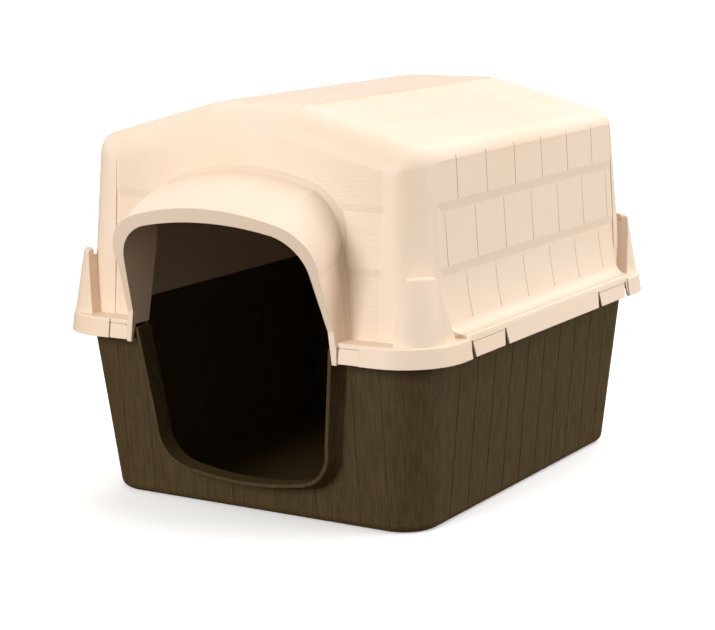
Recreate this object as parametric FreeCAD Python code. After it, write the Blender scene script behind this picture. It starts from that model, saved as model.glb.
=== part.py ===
import FreeCAD, Part

import os

from FreeCAD import Vector

# A two-piece snap-together animal shelter in moulded plastic: a dark ribbed base tub and a light
# barn roof with a hood over the doorway. The roof's skirt laps over the rim of the tub, and snap
# latches cut into the skirt hold the two together.
#
# Frame: millimetres, +Z up, origin on the ground under the middle of the tub. The doorway faces
# -Y, and "right" is +X, the right-hand side of someone who looks at the doorway.

# ---- driving dimensions -------------------------------------------------------------------------

WALL = 4.0                 # wall thickness of both shells
GAP = 0.3                  # clearance between pieces that move past each other

# base tub
TUB_HALF_X = 251.0         # half width on the ground
TUB_HALF_Y = 291.5         # half depth on the ground
TUB_LEAN_X = 0.092         # how far the walls lean out per unit of height
TUB_LEAN_Y = 0.094
TUB_CORNER_R = 52.0
TUB_FOOT_R = 12.0
RIM_Z = 248.7              # top of the tub
FLANGE_Z = 238.0           # underside of the rim flange
FLANGE_HALF_X = 291.5
FLANGE_HALF_Y = 333.0
FLANGE_CORNER_R = 70.0

# doorway collar of the tub
SILL_Z = 46.0
COLLAR_TOP_Z = 245.0
COLLAR_LIP_Y = -337.0      # front of the lip at the height of the skirt
COLLAR_FLARE_TOP_Z = 225.4 # above this the collar is thin, to pass between the feet of the hood

# roof shell
SKIRT_LOW_Z = 228.0
LEDGE_Z = 254.0            # top of the skirt ledge at the corners and the front
SIDE_LEDGE_Z = 258.0       # top of the ledge along the two sides
LEDGE_UNDER_Z = RIM_Z + GAP
SKIRT_HALF_X = 302.0       # half width of the skirt at its lower edge
SKIRT_HALF_Y = 344.0
SKIRT_LEAN = 0.15
SKIRT_CORNER_R = 82.0
SKIRT_WALL = 2.5
SKIRT_RECESS = 2.0         # the stretches between the corner blocks are set back by this
ROOF_HALF_X = 270.0        # half width of the walls at the ledge
ROOF_HALF_Y = 311.0
ROOF_LEAN_X = 0.0475       # how far the walls lean in per unit of height
ROOF_LEAN_Y = 0.08
ROOF_CORNER_R = 45.0
SHOULDER_R = 26.0
ROOF_FOOT_Z = 253.0        # height at which the half width and half depth above are measured
RIDGE_Z = 540.0
RIDGE_HALF_X = 71.0
SLOPE = 0.2665             # fall of the roof slopes
SEAM_X = 159.0             # seam line halfway down each slope

# corner posts on the ledge
POST_TOP_Z = 338.0
POST_CORNER_R = 42.0
POST_GUTTER = 7.0
GUTTER_Z = 328.0

# hood over the doorway
HOOD_FRONT_Y = -400.0
HOOD_MIDDLE_Y = -348.0
JAMB_Y = -343.5
JAMB_LOW_Z = 226.0

# snap latches
TAB_ROOT_Z = 247.0         # height of the living hinges
ROOT_CLEARANCE = 0.06
LATCH_CENTRE = 187.0       # middle of a side latch, measured from the middle of the side
BACK_LATCH_CENTRE = 130.0
LATCH_HALF = 45.0          # half the distance between the two slits of a latch
SLIT_TOP_HALF = 2.0
SLIT_LOW_HALF = 6.0
CLIP_CENTRE = 180.75       # the front clips, beside the doorway
CLIP_HALF = 15.25
CLIP_GAP = 0.4
CATCH_X = 292.3            # inner end of the catch, clear of the rim flange
CATCH_HALF = 8.0

# siding
GROOVE_WIDTH = 2.2
GROOVE_DEPTH = 1.6
SHINGLE_PITCH = 79.0
PLANK_PITCH = 48.3
FIRST_PLANK_Y = -214.0
PLANK_GROOVE_HALF = 1.7
FRONT_PLANKS_X = (35.0, 98.0, 165.0, 208.0)
FRONT_GROOVE_DEPTH = 0.9
PANEL_RECESS = 1.1         # the gable panels are set back from the rounded corners by this
LAP_DEPTH = 2.5            # depth under each lap of the gables, from the face of the corners
SIDE_LAP_DEPTH = 1.6       # the same under each row of shingles on the sides
ROW_FOOT = 0.1             # depth at the lower edge of a row of shingles
PROUD = 2.0                # how far the cuts for the siding reach out of the walls
PANEL_TAPER = 8.0          # length over depth of the front end of a side panel
FLARE_TOP_Z = 331.0        # the lowest row of shingles flares out from here to the ledge
FLARE_FOOT_Z = 271.0
FLARE_OUT = 5.0            # how far it stands out of the wall there
FLARE_FRONT = 262.0        # where the flare stops, at the front and at the back
FLARE_BACK = 252.0
FLARE_SAG = 1.2            # hollow of the flare below the straight line from top to foot
SIDE_FOOT_X = 291.5        # where the flare ends, just inside the edge of the ledge
SHINGLE_GROOVE_DEPTH = 2.9 # from the face of the corners
GABLE_PANEL_HALF = 210.0   # half width of the panel on the front and back walls
SIDE_PANEL_FRONT = 258.0   # where the side panels stop, at the front and at the back
SIDE_PANEL_BACK = 256.0


# ---- small helpers ------------------------------------------------------------------------------

def box(low, high):
    """A box between two corners given as (x, y, z)."""
    size = [b - a for a, b in zip(low, high)]
    return Part.makeBox(size[0], size[1], size[2], Vector(*low))


def prism(points, direction):
    """A solid swept from a flat polygon along a direction."""
    return Part.Face(Part.makePolygon(points + [points[0]])).extrude(direction)


def rounded_rectangle(half_x, half_y, radius, z):
    """A horizontal rounded rectangle about the Z axis."""
    edges = []
    corners = [(1, 1, 0), (-1, 1, 90), (-1, -1, 180), (1, -1, 270)]
    ends = []
    for sign_x, sign_y, start in corners:
        centre = Vector(sign_x * (half_x - radius), sign_y * (half_y - radius), z)
        arc = Part.makeCircle(radius, centre, Vector(0, 0, 1), start, start + 90)
        ends.append(arc)
    for here, after in zip(ends, ends[1:] + ends[:1]):
        edges.append(here)
        edges.append(Part.LineSegment(here.Vertexes[-1].Point, after.Vertexes[0].Point).toShape())
    return Part.Wire(edges)


def ruled(low, high):
    """A solid between two closed wires of the same kind."""
    return Part.makeLoft([low, high], True, True)


def joined(shapes):
    """One shape from several that overlap."""
    return shapes[0].multiFuse(shapes[1:]).removeSplitter()


def mirror_x(shape):
    return shape.mirror(Vector(0, 0, 0), Vector(1, 0, 0))


def mirror_y(shape):
    return shape.mirror(Vector(0, 0, 0), Vector(0, 1, 0))


def both_sides(shapes):
    """The shapes and their mirror images across the middle plane of the doorway."""
    return shapes + [mirror_x(shape) for shape in shapes]


def export(shape, node):
    shape.exportStep("parts/" + node + ".step")
    print(node, len(shape.Solids), "solid", round(shape.Volume / 1000.0, 1), "cm3", shape.isValid())


# ---- base tub -----------------------------------------------------------------------------------

def tub_block(inset, low_z, high_z):
    """The tapered block of the tub between two heights, its walls moved in by an inset."""
    wires = []
    for z in (low_z, high_z):
        half_x = TUB_HALF_X + TUB_LEAN_X * z - inset
        half_y = TUB_HALF_Y + TUB_LEAN_Y * z - inset
        wires.append(rounded_rectangle(half_x, half_y, TUB_CORNER_R - inset, z))
    return ruled(*wires)


def door_outline(grow, set_back):
    """The outline of the doorway on the leaning plane of the collar's lip.

    grow moves it outwards, and set_back moves its plane towards the back.
    """
    def at(x, z):
        lean = 0.1 * (SKIRT_LOW_Z - z)
        return Vector(x, COLLAR_LIP_Y + lean + set_back, z)

    left = [
        at(-152.0 - grow, COLLAR_TOP_Z),
        at(-134.5 - grow, 108.0),
        at(-123.5 - 0.75 * grow, 74.0 - 0.66 * grow),
        at(-90.0 - 0.1 * grow, SILL_Z + 9.0 - grow),
    ]
    sill = at(0, SILL_Z - grow)
    right = [Vector(-point.x, point.y, point.z) for point in left]
    edges = [
        Part.LineSegment(left[0], left[1]).toShape(),
        Part.Arc(left[1], left[2], left[3]).toShape(),
        Part.Arc(left[3], sill, right[3]).toShape(),
        Part.Arc(right[3], right[2], right[1]).toShape(),
        Part.LineSegment(right[1], right[0]).toShape(),
        Part.LineSegment(right[0], left[0]).toShape(),
    ]
    return Part.Wire(edges)


def door_collar():
    """The collar round the doorway before it is bored: a thin lip that flares into the wall."""
    flare = Part.makeLoft(
        [door_outline(2.5, 1.5), door_outline(4.5, 11.0), door_outline(13.0, 26.0)], True, False
    )
    flare = flare.cut(box((-220, -400, COLLAR_FLARE_TOP_Z), (220, -250, RIM_Z + 10)))
    neck = ruled(door_outline(2.5, 1.5), door_outline(2.5, 27.0))
    lip = ruled(door_outline(3.0, 0), door_outline(3.0, 4.0))
    lip = lip.makeFillet(1.2, [edge for edge in lip.Edges if is_lip_edge(edge)])
    return [lip, neck, flare]


def is_lip_edge(edge):
    """True for the edges along the front and back of the lip, apart from its open top."""
    bounds = edge.BoundBox
    across_lip = bounds.XLength < 0.01 and bounds.ZLength < 0.5
    return bounds.ZMin < COLLAR_TOP_Z - 0.5 and not across_lip


def plank_grooves():
    """V grooves between the planks of the tub: deep on the sides, shallow on the front and back."""
    sides = []
    flank = TUB_HALF_X
    rise = Vector(TUB_LEAN_X * RIM_Z, 0, RIM_Z)
    for index in range(10):
        y = FIRST_PLANK_Y + PLANK_PITCH * index
        points = [
            Vector(flank + 1, y - PLANK_GROOVE_HALF, 0),
            Vector(flank + 1, y + PLANK_GROOVE_HALF, 0),
            Vector(flank - GROOVE_DEPTH, y, 0),
        ]
        sides.append(prism(points, rise))
    ends = []
    rise = Vector(0, -TUB_LEAN_Y * RIM_Z, RIM_Z)
    for x in FRONT_PLANKS_X:
        points = [
            Vector(x - PLANK_GROOVE_HALF, -TUB_HALF_Y - 1, 0),
            Vector(x + PLANK_GROOVE_HALF, -TUB_HALF_Y - 1, 0),
            Vector(x, -TUB_HALF_Y + FRONT_GROOVE_DEPTH, 0),
        ]
        ends.append(prism(points, rise))
    ends += [mirror_y(shape) for shape in ends]
    return both_sides(sides + ends)


def base_tub():
    outer = tub_block(0, 0, RIM_Z)
    foot = [edge for edge in outer.Edges if edge.BoundBox.ZMax < 0.01]
    outer = outer.makeFillet(TUB_FOOT_R, foot)
    outer = outer.cut(plank_grooves())
    inner = tub_block(WALL, WALL, RIM_Z + 1)
    flange = ruled(
        rounded_rectangle(FLANGE_HALF_X, FLANGE_HALF_Y, FLANGE_CORNER_R, FLANGE_Z),
        rounded_rectangle(FLANGE_HALF_X, FLANGE_HALF_Y, FLANGE_CORNER_R, FLANGE_Z + WALL),
    )
    flange = flange.cut(box((-172.0, -400.0, 200.0), (172.0, -300.0, 300.0)))
    shell = joined([outer, flange] + door_collar()).cut(inner)
    bore = ruled(door_outline(-2, -30), door_outline(-2, 80))
    above = box((-152.0, -420.0, COLLAR_TOP_Z), (152.0, -260.0, RIM_Z + 5))
    return shell.cut([bore, above])


# ---- roof shell ---------------------------------------------------------------------------------

def roof_half_x(z):
    return ROOF_HALF_X - ROOF_LEAN_X * (z - ROOF_FOOT_Z)


def roof_half_y(z):
    return ROOF_HALF_Y - ROOF_LEAN_Y * (z - ROOF_FOOT_Z)


def rectangle(half_x, half_y, z):
    points = [
        Vector(-half_x, -half_y, z),
        Vector(half_x, -half_y, z),
        Vector(half_x, half_y, z),
        Vector(-half_x, half_y, z),
    ]
    return Part.makePolygon(points + [points[0]])


def barn_block(inset, low_z, edge_r, shoulder_r):
    """The barn shape, its faces moved in by an inset, with rounded corners, gables and shoulders."""
    wires = []
    for z in (low_z, RIDGE_Z + 40):
        wires.append(rectangle(roof_half_x(z) - inset, roof_half_y(z) - inset, z))
    top = RIDGE_Z - inset
    eave = top - SLOPE * (400.0 - RIDGE_HALF_X)
    gable = [
        Vector(-400, -400, 150),
        Vector(400, -400, 150),
        Vector(400, -400, eave),
        Vector(RIDGE_HALF_X, -400, top),
        Vector(-RIDGE_HALF_X, -400, top),
        Vector(-400, -400, eave),
    ]
    block = ruled(*wires).common(prism(gable, Vector(0, 800, 0)))
    rounded = []
    for edge in block.Edges:
        bounds = edge.BoundBox
        if bounds.ZMax < low_z + 1:
            continue
        if bounds.ZLength > 100 or bounds.YLength < 5:
            rounded.append(edge)
    if shoulder_r == edge_r:
        rounded += [edge for edge in block.Edges if is_shoulder(edge)]
        return block.makeFillet(edge_r, rounded)
    block = block.makeFillet(edge_r, rounded)
    shoulders = [edge for edge in block.Edges if is_shoulder(edge)]
    return block.makeFillet(shoulder_r, shoulders)


def is_shoulder(edge):
    """True for the edge between a side wall and its slope."""
    bounds = edge.BoundBox
    return abs(edge.CenterOfMass.x) > 225 and bounds.YLength > 300 and bounds.ZMin > 400


def siding_panels():
    """Shallow cuts that set the siding back from the corners and lap its rows like boards."""
    gable_rows = (
        (474.0, 0.0), (424.0, PANEL_RECESS), (414.0, LAP_DEPTH), (344.0, PANEL_RECESS),
        (334.0, LAP_DEPTH), (266.0, PANEL_RECESS), (LEDGE_Z, PANEL_RECESS),
    )
    profile = [Vector(-GABLE_PANEL_HALF, -roof_half_y(z) + depth, z) for z, depth in gable_rows]
    profile.append(Vector(-GABLE_PANEL_HALF, -roof_half_y(LEDGE_Z) - PROUD, LEDGE_Z))
    profile.append(Vector(-GABLE_PANEL_HALF, -roof_half_y(474.0) - PROUD, 474.0))
    gable = prism(profile, Vector(2 * GABLE_PANEL_HALF, 0, 0))
    return both_sides([side_panel()]) + [gable, mirror_y(gable)]


def side_panel():
    """The cut for the shingles of one side; it runs out to nothing at its front end."""
    top_z = 482.0
    rows = (
        (top_z, 0.0), (470.0, 0.4), (424.0, ROW_FOOT), (412.0, SIDE_LAP_DEPTH),
        (343.0, ROW_FOOT), (FLARE_TOP_Z, SIDE_LAP_DEPTH), (LEDGE_Z, SIDE_LAP_DEPTH),
    )
    profile = [Vector(roof_half_x(z) - depth, -SIDE_PANEL_FRONT, z) for z, depth in rows]
    profile.append(Vector(roof_half_x(LEDGE_Z) + PROUD, -SIDE_PANEL_FRONT, LEDGE_Z))
    profile.append(Vector(roof_half_x(top_z) + PROUD, -SIDE_PANEL_FRONT, top_z))
    cut = prism(profile, Vector(0, SIDE_PANEL_FRONT + SIDE_PANEL_BACK, 0))
    wall = roof_half_x(LEDGE_Z)
    taper = [
        Vector(wall + PROUD, -SIDE_PANEL_FRONT, LEDGE_Z),
        Vector(wall, -SIDE_PANEL_FRONT, LEDGE_Z),
        Vector(wall - WALL, -SIDE_PANEL_FRONT + PANEL_TAPER * WALL, LEDGE_Z),
        Vector(wall - WALL, SIDE_PANEL_BACK, LEDGE_Z),
        Vector(wall + PROUD, SIDE_PANEL_BACK, LEDGE_Z),
    ]
    rise = top_z - LEDGE_Z
    return cut.common(prism(taper, Vector(-ROOF_LEAN_X * rise, 0, rise)))


def side_groove(y, low_z, high_z):
    """One V groove down a side wall."""
    half = GROOVE_WIDTH / 2.0
    x = roof_half_x(low_z)
    points = [
        Vector(x + 1, y - half, low_z),
        Vector(x + 1, y + half, low_z),
        Vector(x - SHINGLE_GROOVE_DEPTH, y, low_z),
    ]
    rise = high_z - low_z
    return prism(points, Vector(-ROOF_LEAN_X * rise, 0, rise))


def flare_groove(y):
    """One V groove down the flared row at the foot of a side wall; it leans out with the row."""
    half = GROOVE_WIDTH / 2.0
    top_x = roof_half_x(FLARE_TOP_Z) - SIDE_LAP_DEPTH
    low_x = roof_half_x(FLARE_FOOT_Z) + FLARE_OUT
    points = [
        Vector(low_x + 1, y - half, FLARE_FOOT_Z),
        Vector(low_x + 1, y + half, FLARE_FOOT_Z),
        Vector(low_x - GROOVE_DEPTH - FLARE_SAG, y, FLARE_FOOT_Z),
    ]
    return prism(points, Vector(top_x - low_x, 0, FLARE_TOP_Z - FLARE_FOOT_Z))


def siding_grooves():
    """Grooves between the shingles on the sides and along the slopes."""
    grooves = []
    for index in range(6):
        grooves.append(side_groove(-202.0 + SHINGLE_PITCH * index, 424.0, 479.0))
    for index in range(7):
        grooves.append(side_groove(-236.0 + SHINGLE_PITCH * index, 343.0, 410.0))
    grooves.append(side_groove(SIDE_PANEL_BACK, SIDE_LEDGE_Z, 474.0))
    seam_z = RIDGE_Z - SLOPE * (SEAM_X - RIDGE_HALF_X)
    seam = [
        Vector(SEAM_X - 1.2, -250.0, seam_z + 2),
        Vector(SEAM_X + 1.2, -250.0, seam_z + 2),
        Vector(SEAM_X, -250.0, seam_z - GROOVE_DEPTH),
    ]
    grooves.append(prism(seam, Vector(0, 500.0, 0)))
    step = [
        Vector(RIDGE_HALF_X, -238.0, RIDGE_Z + 1),
        Vector(RIDGE_HALF_X + 4.5, -238.0, RIDGE_Z + 1),
        Vector(RIDGE_HALF_X + 4.5, -238.0, RIDGE_Z - 1.2),
        Vector(RIDGE_HALF_X, -238.0, RIDGE_Z - 2.2),
    ]
    grooves.append(prism(step, Vector(0, 476.0, 0)))
    return both_sides(grooves)


def corner_post(inset):
    """The post on the front right corner: it stands proud of both walls, on the ledge."""
    low_z = LEDGE_UNDER_Z if inset else LEDGE_Z - 2
    high_z = GUTTER_Z - inset if inset else POST_TOP_Z
    body = ruled(
        rounded_rectangle(288.0 - inset, 327.0 - inset, POST_CORNER_R - inset, low_z),
        rounded_rectangle(277.0 - inset, 316.0 - inset, POST_CORNER_R - inset, high_z),
    )
    wires = []
    for z, x, y in ((low_z, 236.0, -258.0), (high_z, 249.0, -286.0)):
        points = [
            Vector(x + inset, -400, z),
            Vector(400, -400, z),
            Vector(400, y - inset, z),
            Vector(x + inset, y - inset, z),
        ]
        wires.append(Part.makePolygon(points + [points[0]]))
    post = body.common(ruled(*wires))
    if inset:
        return post
    outer = [
        edge for edge in post.Edges
        if edge.BoundBox.ZMin > high_z - 0.5 and not inside_post(edge)
    ]
    sides = [
        edge for edge in post.Edges
        if edge.BoundBox.ZLength > 60 and is_post_side(edge)
    ]
    post = post.makeFillet(4.0, outer + sides)
    gutter = ruled(
        gutter_section(GUTTER_Z),
        gutter_section(POST_TOP_Z + 12),
    )
    return post.cut(gutter)


def gutter_section(z):
    """The outline, at one height, of the gap between the roof's wall and the top of a post."""
    return rounded_rectangle(roof_half_x(z) + POST_GUTTER, roof_half_y(z) + POST_GUTTER, 52.0, z)


def inside_post(edge):
    """True for a top edge of the post that lies behind the wall of the roof."""
    centre = edge.CenterOfMass
    return centre.x < 255 and centre.y > -300


def is_post_side(edge):
    """True for the two upright edges where the post's faces turn towards the walls."""
    centre = edge.CenterOfMass
    on_front = centre.y < -315 and centre.x < 250
    on_side = centre.x > 275 and centre.y > -280
    return on_front or on_side


def four_corners(shape):
    right = [shape, mirror_y(shape)]
    return both_sides(right)


def upright(y):
    """Places hood points on the plane of constant y."""
    return lambda half_x, z: Vector(half_x, y, z)


def along_gable(out):
    """Places hood points on a plane that stands off the gable wall."""
    return lambda half_x, z: Vector(half_x, -roof_half_y(z) - out, z)


def hood_outline(place, foot, knee, corner, crown, peak, grow=0.0):
    """An arch from its lower ends to its peak, on the plane that place gives, moved out by grow.

    foot, knee, corner and crown are (half width, height): the jamb runs straight from foot to knee,
    a tight curve goes through corner to crown, and a gentle one crosses the peak.
    """
    halves = [half + grow for half, z in (foot, knee, corner)] + [crown[0]]
    heights = [foot[1], knee[1], corner[1] + grow, crown[1] + grow]
    left = [place(-half, z) for half, z in zip(halves, heights)]
    right = [place(half, z) for half, z in zip(halves, heights)]
    edges = [
        Part.LineSegment(left[0], left[1]).toShape(),
        Part.Arc(left[1], left[2], left[3]).toShape(),
        Part.Arc(left[3], place(0, peak + grow), right[3]).toShape(),
        Part.Arc(right[3], right[2], right[1]).toShape(),
        Part.LineSegment(right[1], right[0]).toShape(),
        Part.LineSegment(right[0], left[0]).toShape(),
    ]
    return Part.Wire(edges)


def hood_front_cut():
    """Everything in front of the hood's rim: upright beside the doorway, leaning out above it."""
    profile = [
        Vector(-250, JAMB_Y, 150),
        Vector(-250, JAMB_Y, 268),
        Vector(-250, JAMB_Y - 52.0, 420),
        Vector(-250, JAMB_Y - 80.0, 501),
        Vector(-250, -600, 501),
        Vector(-250, -600, 150),
    ]
    return prism(profile, Vector(500, 0, 0))


def hood_outer():
    """The outside of the hood, from inside the gable wall to its rim, flared where it meets it."""
    low = JAMB_LOW_Z
    at_wall = ((166, low), (148, 360), (138, 415), (110, 441), 460)
    middle = ((167, low), (154, 342), (144, 398), (116, 426), 446)
    front = ((171, low), (163, 325), (149, 370), (116, 395), 417)
    body = [
        hood_outline(along_gable(-9.0), *at_wall),
        hood_outline(upright(HOOD_MIDDLE_Y), *middle),
        hood_outline(upright(HOOD_FRONT_Y), *front),
    ]
    flare = [
        hood_outline(along_gable(out), *at_wall, grow)
        for out, grow in ((-9.0, 13.0), (1.5, 2.5), (14.0, -4.0))
    ]
    hood = joined([Part.makeLoft(body, True, False), Part.makeLoft(flare, True, False)])
    hood = hood.cut(hood_front_cut())
    behind = box((-200, -318.0, 200), (200, -250.0, LEDGE_UNDER_Z))
    return hood.cut(behind)


def hood_inner():
    """The space inside the hood, from in front of its rim to inside the gable wall."""
    back = ((163, 180), (143, 358), (134, 410), (108, 438), 457)
    front = ((164, 180), (145, 335), (131, 361), (100, 381), 392.5)
    return ruled(
        hood_outline(upright(-280.0), *back), hood_outline(upright(HOOD_FRONT_Y - 6), *front)
    )


def jamb_feet():
    """Small feet of the hood's rim that pass in front of the collar."""
    points = [
        Vector(152.5, JAMB_Y, JAMB_LOW_Z),
        Vector(166.0, JAMB_Y, JAMB_LOW_Z),
        Vector(166.0, JAMB_Y, 250.0),
        Vector(158.5, JAMB_Y, 250.0),
    ]
    return both_sides([prism(points, Vector(0, 4.0, 0))])


def skirt_block(inset, low_z, high_z):
    """The leaning block of the skirt between two heights."""
    wires = []
    for z in (low_z, high_z):
        grow = SKIRT_LEAN * (z - SKIRT_LOW_Z) + inset
        wires.append(
            rounded_rectangle(SKIRT_HALF_X - grow, SKIRT_HALF_Y - grow, SKIRT_CORNER_R - grow, z)
        )
    return ruled(*wires)


def middle_stretches():
    """The stretches of the skirt between its corner blocks."""
    half_side = LATCH_CENTRE + LATCH_HALF + 7.0
    half_end = CLIP_CENTRE + CLIP_HALF
    sides = box((-400, -half_side, 200), (400, half_side, 300))
    ends = box((-half_end, -400, 200), (half_end, 400, 300))
    return joined([sides, ends])


def skirt_outer():
    """The solid block of the skirt, its middle stretches set back."""
    block = skirt_block(0, SKIRT_LOW_Z, LEDGE_Z)
    edges = [edge for edge in block.Edges if edge.BoundBox.ZMin > LEDGE_Z - 0.1]
    block = block.makeFillet(3.0, edges)
    skin = skirt_block(-1, SKIRT_LOW_Z - 1, LEDGE_Z + 1)
    skin = skin.cut(skirt_block(SKIRT_RECESS, SKIRT_LOW_Z - 2, LEDGE_Z + 2))
    return block.cut(skin.common(middle_stretches()))


def side_ledges():
    """The raised ledge along each side, and the flared row of shingles that runs up from it."""
    outer = SKIRT_HALF_X - SKIRT_LEAN * (SIDE_LEDGE_Z - SKIRT_LOW_Z) - SKIRT_RECESS
    inner = roof_half_x(SIDE_LEDGE_Z) - WALL + 0.5
    low_z = LEDGE_Z - 3
    half = LATCH_CENTRE + LATCH_HALF + 11.0
    strip = [
        Vector(inner, -half, low_z),
        Vector(outer + 0.6, -half, low_z),
        Vector(outer, -half, SIDE_LEDGE_Z - 2),
        Vector(outer - 2, -half, SIDE_LEDGE_Z),
        Vector(inner, -half, SIDE_LEDGE_Z),
    ]
    ledge = prism(strip, Vector(0, 2 * half, 0))
    grooves = [flare_groove(-188.0 + SHINGLE_PITCH * index) for index in range(6)]
    return both_sides([ledge, side_flare(inner, low_z).cut(grooves)])


def side_flare(inner, low_z):
    """The flared foot of a side wall: a gentle curve down the shingles and a cove at the ledge."""
    def at(x, z):
        return Vector(x, -FLARE_FRONT, z)

    top_x = roof_half_x(FLARE_TOP_Z) - SIDE_LAP_DEPTH
    low_x = roof_half_x(FLARE_FOOT_Z) + FLARE_OUT
    half_way = (FLARE_TOP_Z + FLARE_FOOT_Z) / 2.0
    edge = at(SIDE_FOOT_X, SIDE_LEDGE_Z)
    reach = SIDE_FOOT_X - low_x
    cove = at(low_x + 0.27 * reach, SIDE_LEDGE_Z + 0.33 * (FLARE_FOOT_Z - SIDE_LEDGE_Z))
    foot = at(low_x, FLARE_FOOT_Z)
    middle = at((top_x + low_x) / 2.0 - FLARE_SAG, half_way)
    top = at(top_x, FLARE_TOP_Z)
    outline = [Part.Arc(edge, cove, foot), Part.Arc(foot, middle, top)]
    behind = at(top_x - 1.0, FLARE_TOP_Z)
    corners = [top, behind, at(inner, low_z), at(SIDE_FOOT_X, low_z), edge]
    for here, after in zip(corners, corners[1:]):
        outline.append(Part.LineSegment(here, after))
    face = Part.Face(Part.Wire([piece.toShape() for piece in outline]))
    flare = face.extrude(Vector(0, FLARE_FRONT + FLARE_BACK, 0))
    bevel = [
        Vector(inner - WALL, -FLARE_FRONT - 1, low_z - 1),
        Vector(SIDE_FOOT_X + 8, -FLARE_FRONT - 1, low_z - 1),
        Vector(SIDE_FOOT_X + 8, -FLARE_FRONT + 36, low_z - 1),
    ]
    return flare.cut(prism(bevel, Vector(0, 0, 2 * (FLARE_TOP_Z - low_z))))


def vent_slots():
    """Air slots high in the back wall."""
    slots = []
    for index in range(-3, 4):
        x = 26.0 * index
        middle = box((x - 4, 250, 408), (x + 4, 340, 448))
        slots.append(middle)
        for z in (408, 448):
            slots.append(Part.makeCylinder(4, 90, Vector(x, 250, z), Vector(0, 1, 0)))
    return joined(slots)


# ---- snap tabs, drawn in the right-hand skirt and turned onto the others -------------------------

def tab_outline(centre, half_low, half_top, low_z, top_z):
    """A solid through the right-hand skirt: a trapezoid about a centre along Y."""
    points = [
        Vector(285, centre - half_low, low_z),
        Vector(285, centre + half_low, low_z),
        Vector(285, centre + half_top, top_z),
        Vector(285, centre - half_top, top_z),
    ]
    return prism(points, Vector(30, 0, 0))


def tab_root(centre, half, clearance):
    """The round root of a tab, which turns in a socket along the skirt."""
    start = Vector(tab_axis_x(), centre - half, TAB_ROOT_Z)
    return Part.makeCylinder(SKIRT_WALL / 2 + clearance, 2 * half, start, Vector(0, 1, 0))


def tab_window(centre, half, low_gap, top_gap):
    """The cut in the skirt that leaves room for one tab: a socket with a slit at each end."""
    window = tab_outline(centre, half + low_gap, half + top_gap, SKIRT_LOW_Z - 3, TAB_ROOT_Z)
    slit = box((285, -top_gap, TAB_ROOT_Z - 0.1), (315, top_gap, TAB_ROOT_Z + SKIRT_WALL))
    slits = []
    for end in (centre - half, centre + half):
        one = slit.copy()
        one.translate(Vector(0, end, 0))
        slits.append(one)
    return joined([window, tab_root(centre, half + top_gap, ROOT_CLEARANCE)] + slits)


def tab_piece(centre, half, low_gap, top_gap):
    """One springy tab: a stretch of skirt with a rounded root and a small catch inside."""
    plate = skirt_block(SKIRT_RECESS, SKIRT_LOW_Z, TAB_ROOT_Z)
    plate = plate.cut(skirt_block(SKIRT_RECESS + SKIRT_WALL, SKIRT_LOW_Z - 1, TAB_ROOT_Z + 1))
    plate = plate.common(
        tab_outline(centre, half - low_gap, half - top_gap, SKIRT_LOW_Z, TAB_ROOT_Z)
    )
    profile = [
        Vector(CATCH_X, centre - CATCH_HALF, SKIRT_LOW_Z + 5),
        Vector(CATCH_X, centre - CATCH_HALF, SKIRT_LOW_Z + 7),
        Vector(tab_axis_x() + 0.5, centre - CATCH_HALF, SKIRT_LOW_Z + 7.5),
        Vector(tab_axis_x() + 2, centre - CATCH_HALF, SKIRT_LOW_Z + 1),
    ]
    catch = prism(profile, Vector(0, 2 * CATCH_HALF, 0))
    return joined([plate, tab_root(centre, half - top_gap, 0), catch])


def tab_axis_x():
    """Distance of the living hinge of a side tab from the middle plane."""
    rise = TAB_ROOT_Z - SKIRT_LOW_Z
    return SKIRT_HALF_X - SKIRT_RECESS - SKIRT_LEAN * rise - SKIRT_WALL / 2


def turned(shape, degrees, shift_y):
    """A shape of the right-hand skirt turned about Z onto the front or the back skirt."""
    moved = shape.copy()
    moved.rotate(Vector(0, 0, 0), Vector(0, 0, 1), degrees)
    moved.translate(Vector(0, shift_y, 0))
    return moved


def snap_tabs(make):
    """Every tab or window by node name, made by a function of centre, half and the two gaps."""
    deeper = SKIRT_HALF_Y - SKIRT_HALF_X
    side = make(-LATCH_CENTRE, LATCH_HALF, SLIT_LOW_HALF, SLIT_TOP_HALF)
    back = turned(make(-BACK_LATCH_CENTRE, LATCH_HALF, SLIT_LOW_HALF, SLIT_TOP_HALF), 90, deeper)
    front = turned(make(CLIP_CENTRE, CLIP_HALF, CLIP_GAP, CLIP_GAP), -90, -deeper)
    return {
        "right_front_latch": side,
        "right_rear_latch": mirror_y(side),
        "left_front_latch": mirror_x(side),
        "left_rear_latch": mirror_x(mirror_y(side)),
        "rear_right_latch": back,
        "rear_left_latch": mirror_x(back),
        "front_right_clip": front,
        "front_left_clip": mirror_x(front),
    }


def roof_shell():
    walls = barn_block(0, LEDGE_UNDER_Z, ROOF_CORNER_R, SHOULDER_R)
    walls = walls.cut(siding_panels()).cut(siding_grooves())
    posts = four_corners(corner_post(0))
    outer = joined([skirt_outer(), walls, hood_outer()] + jamb_feet() + posts + side_ledges())
    pockets = [post.cut(walls) for post in four_corners(corner_post(WALL))]
    hollows = [
        skirt_block(SKIRT_WALL + SKIRT_RECESS, SKIRT_LOW_Z - 1, LEDGE_UNDER_Z),
        barn_block(WALL, LEDGE_UNDER_Z - 15, 40.0, 40.0),
        hood_inner(),
        vent_slots(),
    ]
    windows = list(snap_tabs(tab_window).values())
    shell = outer.cut(pockets)
    for hollow in hollows:
        shell = shell.cut(hollow)
    return shell.cut(windows)


os.makedirs("parts", exist_ok=True)
for node, tab in snap_tabs(tab_piece).items():
    export(tab, node)
export(base_tub(), "base_tub")
export(roof_shell(), "roof_shell")
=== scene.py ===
import math

import bpy
from mathutils import Matrix, Vector

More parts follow.
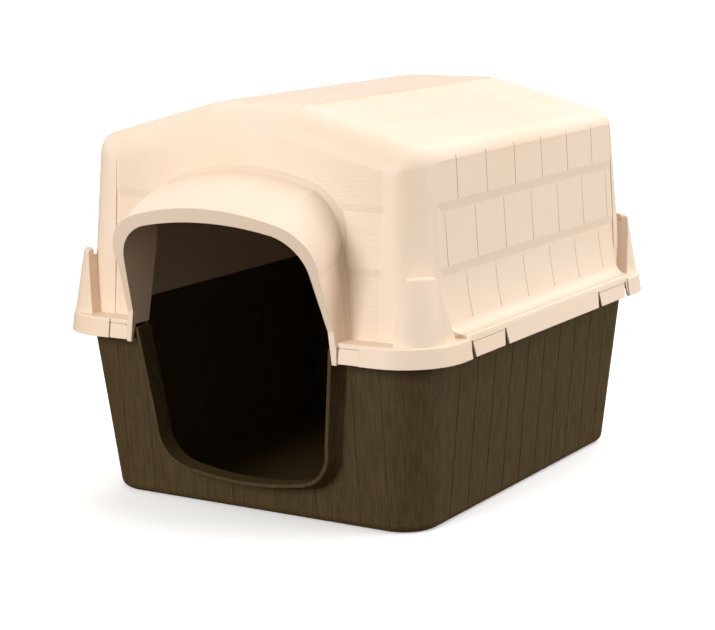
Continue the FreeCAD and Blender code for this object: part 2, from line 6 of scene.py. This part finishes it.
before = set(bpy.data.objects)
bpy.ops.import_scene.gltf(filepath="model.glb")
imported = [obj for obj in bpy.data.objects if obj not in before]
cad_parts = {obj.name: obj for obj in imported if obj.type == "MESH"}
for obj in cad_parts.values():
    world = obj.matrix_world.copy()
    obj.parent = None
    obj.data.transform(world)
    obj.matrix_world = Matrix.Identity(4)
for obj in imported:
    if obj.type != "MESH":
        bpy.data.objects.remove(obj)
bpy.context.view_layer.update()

# Looks for a two-piece moulded plastic animal shelter: a dark tub with a fine upright wood grain and
# a cream roof whose gables have a fine level grain. Metres, +Z up, the doorway faces -Y.

BASE_NODE = "base_tub"

# a Mix node's colour sockets share their names with its other sockets, so they go by number
MIX_FROM = 6
MIX_TO = 7
MIXED = 2

# ---- sizes of the moulded surface, in metres -----------------------------------------------------

ROOF_HALF_Y = 0.311            # half depth of the roof at ROOF_FOOT_Z
ROOF_FOOT_Z = 0.253
ROOF_LEAN_Y = 0.08             # how far the gables lean in for each metre of height
GABLE_HALF_X = 0.207           # half width of the grained panel on each gable
GABLE_TOP_Z = 0.500            # the height at which its grain has faded out
SIDE_FADE = 0.004              # how far the grain takes to fade out at the sides of the panel,
FOOT_FADE = 0.006              # at its foot
TOP_FADE = 0.06                # and at its top
PROUD_LOW = 0.0012             # the grain fades out between these two distances in front of the
PROUD_HIGH = 0.0028            # panel, so that the hood and the posts have none
GRAIN_PERIOD = 0.0030          # from one raised line of the gable grain to the next
GRAIN_STRETCH = (0.5, 0.5, 1.0)   # draws the grain's waves out along the gable
FACING_LOW = 0.80              # a surface counts as facing along an axis when its normal's part
FACING_HIGH = 0.93             # along that axis is above these two, and half counts between them
BUMP_UNIT = 0.001              # heights in the bump are in millimetres
EDGE_RADIUS = 0.0011           # softens the moulded edges
EDGE_SAMPLES = 6

# ---- plastics ------------------------------------------------------------------------------------

ROOF_COLOUR = (0.820, 0.675, 0.545)
ROOF_SHADE = (0.800, 0.635, 0.490)
GRAIN_SHADE = 0.72             # how dark the gable grain is beside ROOF_SHADE
BASE_COLOUR = (0.062, 0.0400, 0.0145)
BASE_LIGHT = (0.090, 0.060, 0.0215)
BASE_DARK = (0.040, 0.026, 0.0095)
PLASTIC_IOR = 1.49
SATIN = 0.40                   # the least roughness of both plastics
ROOF_SPECULAR = 0.42
BASE_SPECULAR = 0.34

# ---- camera, floor and light ---------------------------------------------------------------------

CAMERA_AT = Vector((1.4451, -2.3427, 0.758))
CAMERA_TURN = math.radians(31.97)      # turned left from looking along +Y
CAMERA_DOWN = math.radians(11.15)
CAMERA_ROLL = math.radians(1.06)
LENS_MM = 98.4
SENSOR_MM = 36.0

FLOOR_REACH = 30.0              # from the object to each edge of the floor
FLOOR_GAP = 0.0004              # keeps the floor clear of the object's underside
BACKDROP_HEIGHT = 20.0
STUDIO_GREY = 0.92
FLOOR_GLOW = 0.28               # lightens the shadow under the object, as a lit table does
BACKDROP_GLOW = 1.0             # white, as far as the camera is concerned
SURROUND_HIGH = (0.55, 0.52, 0.49, 1.0)   # the colour of the surround overhead
SURROUND_LOW = (0.15, 0.105, 0.065, 1.0)  # and below the horizon, as off a warm floor
HORIZON_LOW = -0.25             # between these heights on the surround one becomes the other
HORIZON_HIGH = 0.35

AIM = (0, 0, 0.3)               # every lamp points at the middle of the object
SKY_AT = (0.5, 2.1, 3.0)        # a sun lamp, so only its direction counts
SKY_POWER = 2.0
SKY_SPREAD = math.radians(80)
SOFTBOX_SIZE = 1.4
KEY_AT = (-0.55, -3.1, 1.25)
KEY_POWER = 71.0
SIDE_AT = (3.1, 0.75, 1.0)
SIDE_POWER = 52.0


def add_camera():
    """A camera that sees the doorway and the right-hand side from a little above."""
    data = bpy.data.cameras.new("camera")
    data.lens = LENS_MM
    data.sensor_width = SENSOR_MM
    data.clip_end = 2 * FLOOR_REACH
    camera = bpy.data.objects.new("camera", data)
    bpy.context.scene.collection.objects.link(camera)
    tilt = Matrix.Rotation(math.radians(90) - CAMERA_DOWN, 4, "X")
    turn = Matrix.Rotation(CAMERA_TURN, 4, "Z")
    roll = Matrix.Rotation(-CAMERA_ROLL, 4, "Z")
    camera.matrix_world = Matrix.Translation(CAMERA_AT) @ turn @ tilt @ roll
    bpy.context.scene.camera = camera


def add_light(name, kind, at, power):
    """A lamp at a point, aimed at the object."""
    data = bpy.data.lights.new(name, kind)
    data.energy = power
    light = bpy.data.objects.new(name, data)
    bpy.context.scene.collection.objects.link(light)
    light.location = at
    aim = Vector(AIM) - Vector(at)
    light.rotation_euler = aim.to_track_quat("-Z", "Y").to_euler()
    return data


def add_softbox(name, at, power):
    """A square soft light."""
    data = add_light(name, "AREA", at, power)
    data.shape = "SQUARE"
    data.size = SOFTBOX_SIZE


def studio_surface(name, glow):
    """A matt pale material that also gives out light."""
    material = bpy.data.materials.new(name)
    material.use_nodes = True
    surface = material.node_tree.nodes["Principled BSDF"]
    surface.inputs["Base Color"].default_value = (STUDIO_GREY, STUDIO_GREY, STUDIO_GREY, 1)
    surface.inputs["Roughness"].default_value = 0.9
    surface.inputs["Specular IOR Level"].default_value = 0.1
    surface.inputs["Emission Color"].default_value = (1, 1, 1, 1)
    surface.inputs["Emission Strength"].default_value = glow
    return material


def add_stage_piece(name, corners, faces, material):
    """A piece of the studio, which throws no light back at the object."""
    mesh = bpy.data.meshes.new(name)
    mesh.from_pydata(corners, [], faces)
    mesh.materials.append(material)
    piece = bpy.data.objects.new(name, mesh)
    bpy.context.scene.collection.objects.link(piece)
    piece.visible_diffuse = False
    piece.visible_glossy = False
    return piece


def add_floor():
    """A wide pale floor, a hair below the object's underside."""
    reach = FLOOR_REACH
    z = -FLOOR_GAP
    corners = [(-reach, -reach, z), (reach, -reach, z), (reach, reach, z), (-reach, reach, z)]
    material = studio_surface("studio_floor", FLOOR_GLOW)
    add_stage_piece("floor", corners, [(0, 1, 2, 3)], material)


def add_backdrop():
    """White walls far off on the edges of the floor, which neither light nor shade the object."""
    reach = FLOOR_REACH
    sides = [(-reach, -reach), (reach, -reach), (reach, reach), (-reach, reach)]
    corners = [(x, y, z) for z in (-FLOOR_GAP, BACKDROP_HEIGHT) for x, y in sides]
    faces = [(k, (k + 1) % 4, (k + 1) % 4 + 4, k + 4) for k in range(4)]
    material = studio_surface("studio_backdrop", BACKDROP_GLOW)
    backdrop = add_stage_piece("backdrop", corners, faces, material)
    backdrop.visible_shadow = False


def add_surround():
    """A surround that is pale overhead and darker and warmer below the horizon."""
    world = bpy.data.worlds.new("studio")
    world.use_nodes = True
    tree = world.node_tree
    place = tree.nodes.new("ShaderNodeTexCoord")
    split = tree.nodes.new("ShaderNodeSeparateXYZ")
    height = tree.nodes.new("ShaderNodeMapRange")
    height.interpolation_type = "SMOOTHSTEP"
    height.inputs["From Min"].default_value = HORIZON_LOW
    height.inputs["From Max"].default_value = HORIZON_HIGH
    colour = tree.nodes.new("ShaderNodeMix")
    colour.data_type = "RGBA"
    tree.links.new(place.outputs["Generated"], split.inputs[0])
    tree.links.new(split.outputs["Z"], height.inputs["Value"])
    tree.links.new(height.outputs["Result"], colour.inputs["Factor"])
    tree.links.new(colour.outputs[MIXED], tree.nodes["Background"].inputs["Color"])
    colour.inputs[MIX_FROM].default_value = SURROUND_LOW
    colour.inputs[MIX_TO].default_value = SURROUND_HIGH
    bpy.context.scene.world = world


def add_studio():
    """The room, a broad soft light overhead, and softboxes in front and at the right."""
    add_floor()
    add_backdrop()
    add_surround()
    bpy.context.scene.view_settings.view_transform = "Standard"
    sky = add_light("overhead", "SUN", SKY_AT, SKY_POWER)
    sky.angle = SKY_SPREAD
    add_softbox("key", KEY_AT, KEY_POWER)
    add_softbox("side", SIDE_AT, SIDE_POWER)


# ---- materials -----------------------------------------------------------------------------------

class Shader:
    """One material, with short ways to add its nodes."""

    def __init__(self, name):
        self.material = bpy.data.materials.new(name)
        self.material.use_nodes = True
        self.tree = self.material.node_tree
        self.surface = self.tree.nodes["Principled BSDF"]
        place = self.tree.nodes.new("ShaderNodeTexCoord")
        self.place = place.outputs["Object"]
        self.normal = place.outputs["Normal"]

    def connect(self, socket, value):
        """Links a socket to an output, or sets it to a number or a colour."""
        if isinstance(value, bpy.types.NodeSocket):
            self.tree.links.new(value, socket)
        elif isinstance(value, tuple) and len(value) == 3 and socket.type == "RGBA":
            socket.default_value = (*value, 1.0)
        else:
            socket.default_value = value

    def math(self, operation, *values):
        """The result of one arithmetic step."""
        node = self.tree.nodes.new("ShaderNodeMath")
        node.operation = operation
        for socket, value in zip(node.inputs, values):
            self.connect(socket, value)
        return node.outputs["Value"]

    def product(self, *values):
        """All the values multiplied together."""
        result = values[0]
        for value in values[1:]:
            result = self.math("MULTIPLY", result, value)
        return result

    def total(self, *values):
        """All the values added up."""
        result = values[0]
        for value in values[1:]:
            result = self.math("ADD", result, value)
        return result

    def ramp(self, value, low, high, to_low=0.0, to_high=1.0):
        """A value taken smoothly from one range to another."""
        node = self.tree.nodes.new("ShaderNodeMapRange")
        node.interpolation_type = "SMOOTHSTEP"
        for socket, setting in zip(node.inputs, (value, low, high, to_low, to_high)):
            self.connect(socket, setting)
        return node.outputs["Result"]

    def mix(self, amount, colour_a, colour_b):
        """The first colour where the amount is 0, the second where it is 1."""
        node = self.tree.nodes.new("ShaderNodeMix")
        node.data_type = "RGBA"
        self.connect(node.inputs["Factor"], amount)
        self.connect(node.inputs[MIX_FROM], colour_a)
        self.connect(node.inputs[MIX_TO], colour_b)
        return node.outputs[MIXED]

    def split(self, vector):
        """The x, y and z parts of a vector."""
        node = self.tree.nodes.new("ShaderNodeSeparateXYZ")
        self.connect(node.inputs[0], vector)
        return node.outputs[0], node.outputs[1], node.outputs[2]

    def stretched(self, scale):
        """The place on the surface, scaled along each axis."""
        node = self.tree.nodes.new("ShaderNodeMapping")
        self.connect(node.inputs["Vector"], self.place)
        node.inputs["Scale"].default_value = scale
        return node.outputs["Vector"]

    def noise(self, scale, detail, stretch=(1.0, 1.0, 1.0)):
        """Soft noise from 0 to 1, with scale times stretch spots per metre along each axis."""
        node = self.tree.nodes.new("ShaderNodeTexNoise")
        node.inputs["Scale"].default_value = scale
        node.inputs["Detail"].default_value = detail
        self.connect(node.inputs["Vector"], self.stretched(stretch))
        return node.outputs["Fac"]

    def lines(self, period, wander, detail, coarseness):
        """Level lines, a period apart, that wander up and down along their length."""
        node = self.tree.nodes.new("ShaderNodeTexWave")
        node.bands_direction = "Z"
        scale_of_one_metre = math.pi / 10.0      # the wave texture's scale for a period of 1 m
        node.inputs["Scale"].default_value = scale_of_one_metre / period
        node.inputs["Distortion"].default_value = wander
        node.inputs["Detail"].default_value = detail
        node.inputs["Detail Scale"].default_value = coarseness
        self.connect(node.inputs["Vector"], self.stretched(GRAIN_STRETCH))
        return node.outputs["Fac"]

    def finish(self, height):
        """Feeds the bump, over softened edges, into the surface."""
        edge = self.tree.nodes.new("ShaderNodeBevel")
        edge.samples = EDGE_SAMPLES
        edge.inputs["Radius"].default_value = EDGE_RADIUS
        bump = self.tree.nodes.new("ShaderNodeBump")
        bump.inputs["Strength"].default_value = 1.0
        bump.inputs["Distance"].default_value = BUMP_UNIT
        self.connect(bump.inputs["Height"], height)
        self.connect(bump.inputs["Normal"], edge.outputs["Normal"])
        self.connect(self.surface.inputs["Normal"], bump.outputs["Normal"])
        return self.material


def facing(shader, axis):
    """1 where the surface faces along an axis either way, 0 where it turns away."""
    along = shader.math("ABSOLUTE", shader.split(shader.normal)[axis])
    return shader.ramp(along, FACING_LOW, FACING_HIGH)


def gable_mask(shader):
    """1 on the flat panel of each gable, beside and above the hood, and 0 elsewhere."""
    x, y, z = shader.split(shader.place)
    rise = shader.math("SUBTRACT", z, ROOF_FOOT_Z)
    wall = shader.math("SUBTRACT", ROOF_HALF_Y, shader.product(rise, ROOF_LEAN_Y))
    proud = shader.math("SUBTRACT", shader.math("ABSOLUTE", y), wall)
    on_wall = shader.ramp(proud, PROUD_LOW, PROUD_HIGH, 1.0, 0.0)
    side = shader.math("ABSOLUTE", x)
    across = shader.ramp(side, GABLE_HALF_X - SIDE_FADE, GABLE_HALF_X, 1.0, 0.0)
    below = shader.ramp(z, GABLE_TOP_Z - TOP_FADE, GABLE_TOP_Z, 1.0, 0.0)
    above = shader.ramp(z, ROOF_FOOT_Z, ROOF_FOOT_Z + FOOT_FADE)
    return shader.product(on_wall, across, below, above, facing(shader, 1))


def roof_plastic():
    """Cream plastic, satin and slightly uneven, with a level wood grain on the gables."""
    shader = Shader("roof_plastic")
    clouds = shader.noise(5.0, 3.0)
    speckle = shader.noise(420.0, 2.0)
    colour = shader.mix(shader.ramp(clouds, 0.3, 0.75), ROOF_COLOUR, ROOF_SHADE)
    grain = shader.lines(GRAIN_PERIOD, wander=16.0, detail=3.0, coarseness=0.035)
    streaks = shader.noise(1.0, 4.0, (9.0, 9.0, 420.0))
    upright = shader.noise(1.0, 3.0, (260.0, 260.0, 9.0))
    mask = gable_mask(shader)
    marks = shader.total(shader.product(grain, 0.5), shader.product(streaks, 0.8))
    tint = shader.product(mask, marks, 0.24)
    colour = shader.mix(tint, colour, tuple(GRAIN_SHADE * part for part in ROOF_SHADE))
    shader.connect(shader.surface.inputs["Base Color"], colour)
    rough = shader.total(SATIN, shader.product(clouds, 0.08), shader.product(speckle, 0.08))
    shader.connect(shader.surface.inputs["Roughness"], rough)
    shader.surface.inputs["IOR"].default_value = PLASTIC_IOR
    shader.surface.inputs["Specular IOR Level"].default_value = ROOF_SPECULAR
    height = shader.total(
        shader.product(mask, marks, 0.21),
        shader.product(facing(shader, 0), upright, 0.05),
        shader.product(speckle, 0.02),
        shader.product(clouds, 0.5),
    )
    return shader.finish(height)


def base_plastic():
    """Dark brown plastic with a fine upright wood grain all round."""
    shader = Shader("base_plastic")
    clouds = shader.noise(6.0, 3.0)
    streaks = shader.noise(1.0, 6.0, (420.0, 230.0, 14.0))
    fibres = shader.noise(1.0, 3.0, (120.0, 120.0, 30.0))
    speckle = shader.noise(520.0, 2.0)
    level = shader.total(shader.product(streaks, 0.6), shader.product(speckle, 0.4))
    colour = shader.mix(shader.ramp(level, 0.35, 0.65), BASE_DARK, BASE_LIGHT)
    colour = shader.mix(shader.ramp(clouds, 0.3, 0.7, 0.15, 0.5), colour, BASE_COLOUR)
    shader.connect(shader.surface.inputs["Base Color"], colour)
    rough = shader.total(SATIN, shader.product(streaks, 0.14), shader.product(fibres, 0.06))
    shader.connect(shader.surface.inputs["Roughness"], rough)
    shader.surface.inputs["IOR"].default_value = PLASTIC_IOR
    shader.surface.inputs["Specular IOR Level"].default_value = BASE_SPECULAR
    height = shader.total(
        shader.product(streaks, 0.22),
        shader.product(fibres, 0.14),
        shader.product(speckle, 0.05),
        shader.product(clouds, 0.4),
    )
    return shader.finish(height)


def dress(nodes):
    """Gives every CAD node its plastic."""
    roof = roof_plastic()
    base = base_plastic()
    for name, node in nodes.items():
        node.data.materials.clear()
        node.data.materials.append(base if name == BASE_NODE else roof)


add_camera()
add_studio()
dress(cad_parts)
